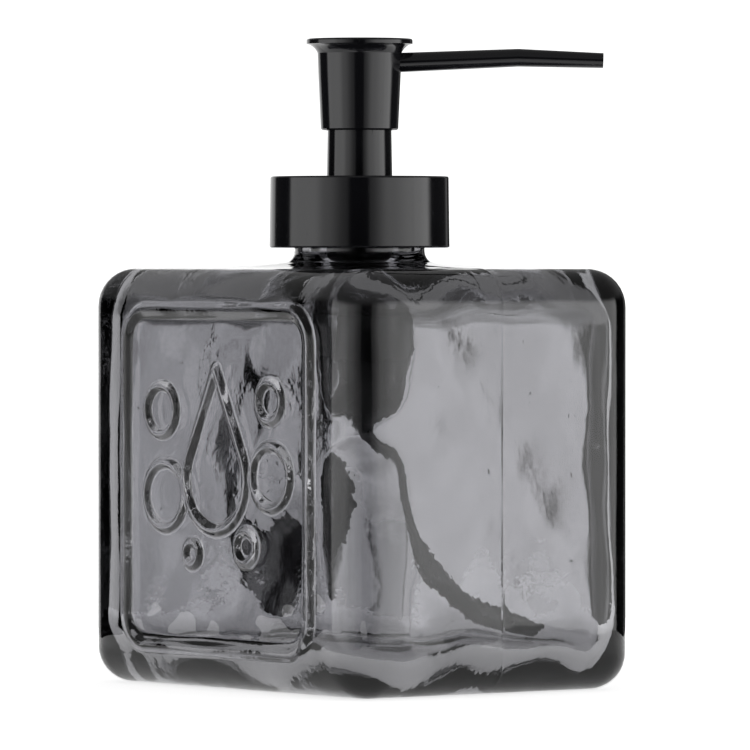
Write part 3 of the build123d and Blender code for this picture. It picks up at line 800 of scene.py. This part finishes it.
def moulded_black(name, colour, low, high):
    """Injection moulded black whose roughness runs from low to high along its flow marks."""
    material, tree = new_material(name)
    place = add(tree, "ShaderNodeTexCoord").outputs["Object"]
    flow = add(tree, "ShaderNodeTexNoise", {
        "Vector": place, "Scale": 1 / FLOW_MARK, "Detail": 3.0, "Distortion": 0.6})
    gloss = add(tree, "ShaderNodeMapRange", {
        "Value": flow.outputs["Fac"], "From Min": 0.3, "From Max": 0.7,
        "To Min": low, "To Max": high})
    thin = add(tree, "ShaderNodeMapping", {"Vector": place, "Scale": (1.0, 1.0, 0.12)})
    scuffs = add(tree, "ShaderNodeTexNoise", {
        "Vector": thin.outputs[0], "Scale": 1 / SCUFF, "Detail": 1.0})
    rare = add(tree, "ShaderNodeMapRange", {
        "Value": scuffs.outputs["Fac"], "From Min": 0.74, "From Max": 0.80,
        "To Min": 0.0, "To Max": 0.22})
    rough = add(tree, "ShaderNodeMath", {0: gloss.outputs["Result"], 1: rare.outputs["Result"]},
                operation="ADD")
    peel = add(tree, "ShaderNodeTexNoise", {"Vector": place, "Scale": 1 / PEEL, "Detail": 2.0})
    bump = add(tree, "ShaderNodeBump", {
        "Height": peel.outputs["Fac"], "Strength": 0.06, "Distance": 0.1 * MM})
    shader = add(tree, "ShaderNodeBsdfPrincipled", {
        "Base Color": linear(colour), "Roughness": rough.outputs[0], "IOR": 1.54,
        "Normal": bump.outputs[0]})
    add(tree, "ShaderNodeOutputMaterial", {"Surface": shader.outputs[0]})
    return material


# ABS from a polished mould: deep black with clear, slightly soft reflections.
gloss = moulded_black("abs_moulded_gloss_black", "#17171a", 0.10, 0.15)
# Polypropylene as moulded: waxy, with broad dim highlights.
matt = moulded_black("polypropylene_moulded_black", "#101012", 0.34, 0.44)
print("plastics:", gloss.name, "and", matt.name)

# %% [markdown]
# ## Drawn, ground, extruded and pressed surfaces
# The small working pieces show how they were made. Wire is drawn through a die and keeps lines
# along its length. The check balls are ground and tumbled until they are nearly mirrors. The dip
# tube is extruded, with faint lines that run along it. The double cup seal is pressed rubber, even
# and dull. All are one noise, with its own grain and its own stretch, that steers both the
# roughness and the height. Their real marks are finer than can be seen, so they are drawn coarser.

# %% Worked materials
def worked_surface(name, colour, low, high, grain, stretch, lift, shader_values):
    """A surface covered in marks: grain mm wide, drawn out by stretch and lift mm high."""
    material, tree = new_material(name)
    place = add(tree, "ShaderNodeTexCoord").outputs["Object"]
    laid = add(tree, "ShaderNodeMapping", {"Vector": place, "Scale": stretch})
    marks = add(tree, "ShaderNodeTexNoise", {
        "Vector": laid.outputs[0], "Scale": 1 / (grain * MM), "Detail": 3.0})
    rough = add(tree, "ShaderNodeMapRange", {
        "Value": marks.outputs["Fac"], "From Min": 0.3, "From Max": 0.7,
        "To Min": low, "To Max": high})
    bump = add(tree, "ShaderNodeBump", {
        "Height": marks.outputs["Fac"], "Strength": 0.6, "Distance": lift * MM})
    shader = add(tree, "ShaderNodeBsdfPrincipled", {
        "Base Color": linear(colour), "Roughness": rough.outputs["Result"],
        "Normal": bump.outputs[0], **shader_values})
    add(tree, "ShaderNodeOutputMaterial", {"Surface": shader.outputs[0]})
    return material


# Stainless wire, drawn: grey and bright, its highlights broken along the coil.
steel_wire = worked_surface("stainless_wire_drawn", "#b9b9bb", 0.18, 0.32, 0.12,
                            (0.15, 0.15, 1), 0.01, {"Metallic": 1.0})
# Stainless ball, ground: almost a mirror.
steel_ball = worked_surface("stainless_ball_ground", "#c6c6c8", 0.05, 0.12, 0.4,
                            (1, 1, 1), 0.002, {"Metallic": 1.0})
# Polyethylene tube, extruded: a soft sheen with lines along it.
tubing = worked_surface("polyethylene_tube_extruded_black", "#111113", 0.26, 0.38, 0.5,
                        (1, 1, 0.06), 0.03, {"IOR": 1.51})
# Nitrile rubber, pressed: dull and even.
rubber = worked_surface("nitrile_rubber_pressed_black", "#141415", 0.50, 0.64, 0.25,
                        (1, 1, 1), 0.02, {"IOR": 1.52})
print("worked:", ", ".join(m.name for m in (steel_wire, steel_ball, tubing, rubber)))

# %% [markdown]
# ## Foam gasket
# The ring on the rim is die cut from a sheet of closed cell polyethylene foam. Its cells, about a
# third of a millimetre wide, show as shallow round dents, which is what a Voronoi pattern draws.

# %% Foam material
CELL = 0.35 * MM
foam, tree = new_material("polyethylene_foam_die_cut_grey")
place = add(tree, "ShaderNodeTexCoord").outputs["Object"]
cells = add(tree, "ShaderNodeTexVoronoi", {"Vector": place, "Scale": 1 / CELL},
            feature="SMOOTH_F1")
dents = add(tree, "ShaderNodeBump", {
    "Height": cells.outputs["Distance"], "Strength": 0.8, "Distance": 0.06 * MM})
shader = add(tree, "ShaderNodeBsdfPrincipled", {
    "Base Color": linear("#8c8c8e"), "Roughness": 0.85, "IOR": 1.45, "Normal": dents.outputs[0]})
add(tree, "ShaderNodeOutputMaterial", {"Surface": shader.outputs[0]})
print("foam cells", round(CELL / MM, 2), "mm")

# %% [markdown]
# ## Return spring
# A compression spring is a wire wound on a rod, so it follows a rule: a spiral of one radius with
# a circle swept along it. A curve object with a bevel could do it too, but a node tree keeps its
# sizes as inputs that can be set from the CAD model.

# %% Coil tree
def spring_tree():
    tree = bpy.data.node_groups.new("coil_spring", "GeometryNodeTree")
    face = tree.interface
    face.new_socket("Geometry", in_out="INPUT", socket_type="NodeSocketGeometry")
    for name in ("Radius", "Height", "Turns", "Wire", "Foot"):
        face.new_socket(name, in_out="INPUT", socket_type="NodeSocketFloat")
    face.new_socket("Material", in_out="INPUT", socket_type="NodeSocketMaterial")
    face.new_socket("Geometry", in_out="OUTPUT", socket_type="NodeSocketGeometry")
    given = add(tree, "NodeGroupInput").outputs
    coil = add(tree, "GeometryNodeCurveSpiral", {
        "Resolution": 40, "Rotations": given["Turns"], "Start Radius": given["Radius"],
        "End Radius": given["Radius"], "Height": given["Height"]})
    foot = add(tree, "ShaderNodeCombineXYZ", {"Z": given["Foot"]})
    seated = add(tree, "GeometryNodeTransform", {
        "Geometry": coil.outputs[0], "Translation": foot.outputs[0]})
    section = add(tree, "GeometryNodeCurvePrimitiveCircle", {
        "Resolution": 14, "Radius": given["Wire"]})
    wire = add(tree, "GeometryNodeCurveToMesh", {
        "Curve": seated.outputs[0], "Profile Curve": section.outputs[0], "Fill Caps": True})
    real = add(tree, "GeometryNodeRealizeInstances", {"Geometry": wire.outputs[0]})
    finish = add(tree, "GeometryNodeSetMaterial", {
        "Geometry": real.outputs[0], "Material": given["Material"]})
    add(tree, "NodeGroupOutput", {"Geometry": finish.outputs[0]})
    return tree


winding = spring_tree()
print("coil tree has", len(winding.nodes), "nodes")

# %% [markdown]
# ## Wind
# The coil takes its length, its place and its outer radius from the CAD spring. That one is
# rigid, and this coil takes its place as one rigid piece as well. It rides on the pump's fixed
# body.

# %% Wind the spring
WIRE = 0.45  # radius of the wire, mm
SPRING_TURNS = 8.0

low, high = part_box("return_spring")
SPRING_LOW, SPRING_HIGH = low[2] / MM, high[2] / MM
SPRING_LENGTH = SPRING_HIGH - SPRING_LOW
SPRING_RADIUS = high[0] / MM - WIRE
spring_base = bpy.data.objects.new("spring_base", bpy.data.meshes.new("spring_base"))
bpy.context.scene.collection.objects.link(spring_base)
spring_mesh = grown(spring_base, winding, {
    "Radius": SPRING_RADIUS * MM, "Height": (SPRING_LENGTH - 2 * WIRE) * MM,
    "Turns": SPRING_TURNS, "Wire": WIRE * MM, "Foot": (SPRING_LOW + WIRE) * MM,
    "Material": steel_wire})
bpy.data.objects.remove(spring_base)
spring = bpy.data.objects.new("coil_spring", spring_mesh)
bpy.context.scene.collection.objects.link(spring)
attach(spring, "pump_engine")
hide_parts("return_spring")
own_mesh(spring)

# %% [markdown]
# ## Finishes on the CAD pieces
# Every other piece keeps its CAD mesh, which already has its real shape, and only takes a finish.
# What the hand and the eye meet is gloss, and what works inside the neck is matt.

# %% Give each piece its finish
FINISHES = {
    gloss: ("collar_shell", "guide_sleeve", "head_shell", "spout_tube"),
    matt: ("collar_insert", "pump_chamber", "ball_cage", "stem_tube", "piston_core", "head_core"),
    steel_ball: ("inlet_ball", "outlet_ball"),
    tubing: ("dip_tube",),
    rubber: ("piston_seal",),
    foam: ("neck_gasket",),
}
for finish, names in FINISHES.items():
    for name in names:
        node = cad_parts[name]
        node.data.materials.clear()
        node.data.materials.append(finish)
    print(finish.name, "on", ", ".join(names))
